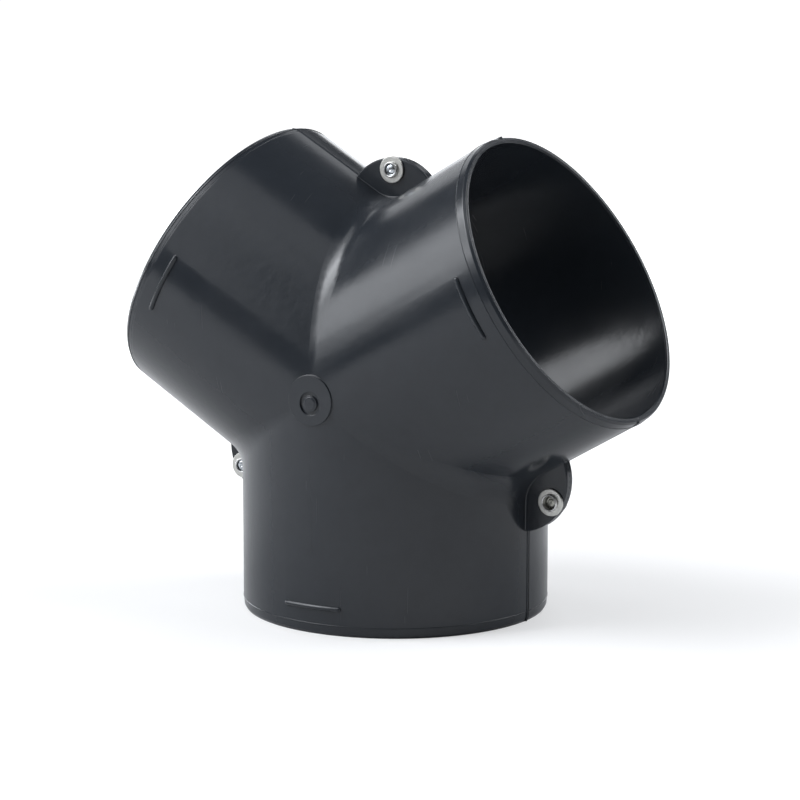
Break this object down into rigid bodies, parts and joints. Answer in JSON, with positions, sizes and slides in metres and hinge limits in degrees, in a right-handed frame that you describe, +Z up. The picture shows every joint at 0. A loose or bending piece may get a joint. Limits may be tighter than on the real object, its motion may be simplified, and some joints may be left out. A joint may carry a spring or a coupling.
{
  "type": "duct y branch",
  "caption": "Y-shaped duct branch: three equal round sockets meet at 120 degrees; two half shells joined in a flat seam by riveted ears in the valleys.",
  "frame": {"origin": "centre of the trunk's rim, on the floor and in the seam plane between the shells", "axes": "+Z up along the trunk's axis, +X to the right branch, +Y to the rear shell; the seam lies in XZ"},
  "size_m": [0.1604, 0.091, 0.1389],
  "materials": {
    "shell": "satin moulded, charcoal black",
    "washer": "satin zinc plate",
    "rivet": "bright",
    "mandrel": "bright zinc plate"
  },
  "bodies": {
    "root": {"front_shell": "shell", "rear_shell": "shell", "washer_top": "washer", "washer_right": "washer", "washer_left": "washer", "rivet_top": "rivet", "rivet_right": "rivet", "rivet_left": "rivet", "mandrel_top": "mandrel", "mandrel_right": "mandrel", "mandrel_left": "mandrel"}
  },
  "joints": []
}
